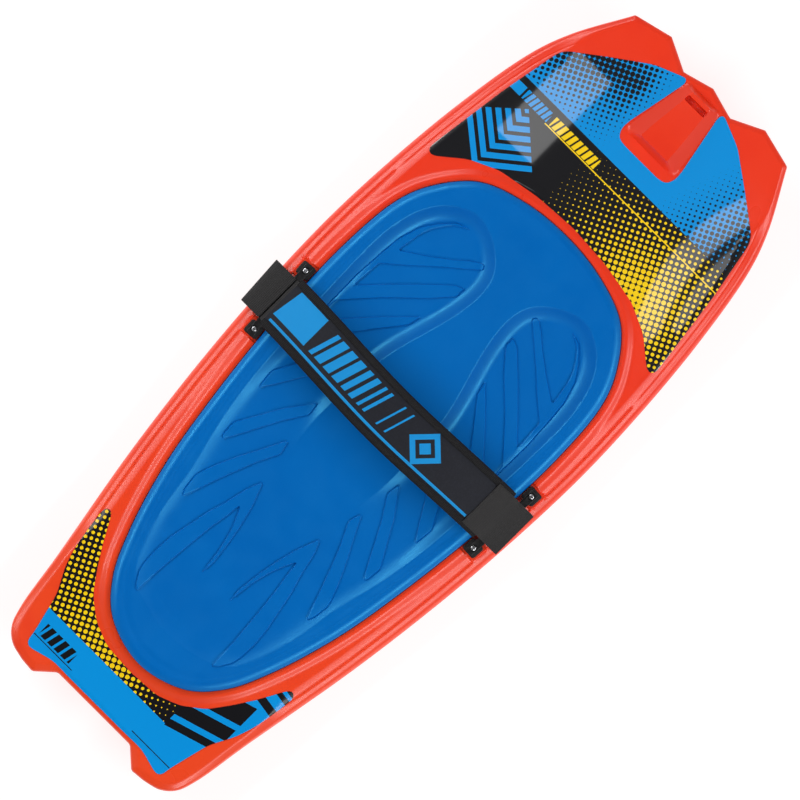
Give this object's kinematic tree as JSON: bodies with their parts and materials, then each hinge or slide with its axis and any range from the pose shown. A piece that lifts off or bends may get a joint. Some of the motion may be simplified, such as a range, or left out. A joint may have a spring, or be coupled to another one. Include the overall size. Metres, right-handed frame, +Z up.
{
  "type": "kneeboard",
  "caption": "Foam-filled plastic kneeboard with a moulded foam knee pad, film decals, a raised tow hook and a padded hook-and-loop thigh strap on screwed-down side brackets.",
  "frame": {"origin": "in the hull's flat running surface, on the board's centre line and at the middle of its length", "axes": "+X towards the nose, +Y towards the rider's left, +Z up through the pad"},
  "size_m": [1.27, 0.5228, 0.1343],
  "materials": {
    "deck_plastic": "glossy moulded polyethylene, orange",
    "hull_plastic": "glossy moulded polyethylene, orange",
    "core_foam": null,
    "pad_foam": "smooth moulded EVA foam, blue",
    "decal_film": "glossy printed film in blue, black, yellow and orange",
    "bracket_plastic": "satin black moulded nylon",
    "screw_steel": "stainless steel pan-head screw",
    "insert_brass": "knurled brass insert",
    "webbing": "black woven polyester webbing",
    "sleeve_fabric": "black knitted fabric laminated to foam",
    "sleeve_padding": null,
    "binding_tape": "black ribbed binding tape",
    "hook_tape": "black hook tape",
    "pile_tape": "black pile tape"
  },
  "bodies": {
    "board": {"deck_shell": "deck_plastic", "hull_shell": "hull_plastic", "foam_core": "core_foam", "knee_pad": "pad_foam", "nose_decal": "decal_film", "tail_decal": "decal_film", "left_strap_bracket": "bracket_plastic", "right_strap_bracket": "bracket_plastic", "screw_left_front": "screw_steel", "screw_left_rear": "screw_steel", "screw_right_front": "screw_steel", "screw_right_rear": "screw_steel", "insert_left_front": "insert_brass", "insert_left_rear": "insert_brass", "insert_right_front": "insert_brass", "insert_right_rear": "insert_brass", "anchor_loop": "webbing", "closure_loop": "webbing"},
    "strap": {"sleeve_cover": "sleeve_fabric", "sleeve_foam": "sleeve_padding", "strap_webbing": "webbing", "sleeve_lining": "sleeve_fabric", "sleeve_binding_front": "binding_tape", "sleeve_binding_rear": "binding_tape", "hook_patch": "hook_tape", "pull_tab": "webbing"},
    "closure": {"pile_patch": "pile_tape", "closure_tab": "webbing"}
  },
  "joints": [
    {"name": "strap_swing", "type": "hinge", "parent": "board", "child": "strap", "pos_m": [-0.0175, 0.2246, 0.0615], "axis": [-1, 0, 0], "range_deg": [0, 125]},
    {"name": "closure_swing", "type": "hinge", "parent": "board", "child": "closure", "pos_m": [-0.0175, -0.2126, 0.0642], "axis": [1, 0, 0], "range_deg": [0, 125]}
  ],
  "couplings": [
    {"joint": "closure_swing", "follows": "strap_swing", "ratio": 1}
  ]
}
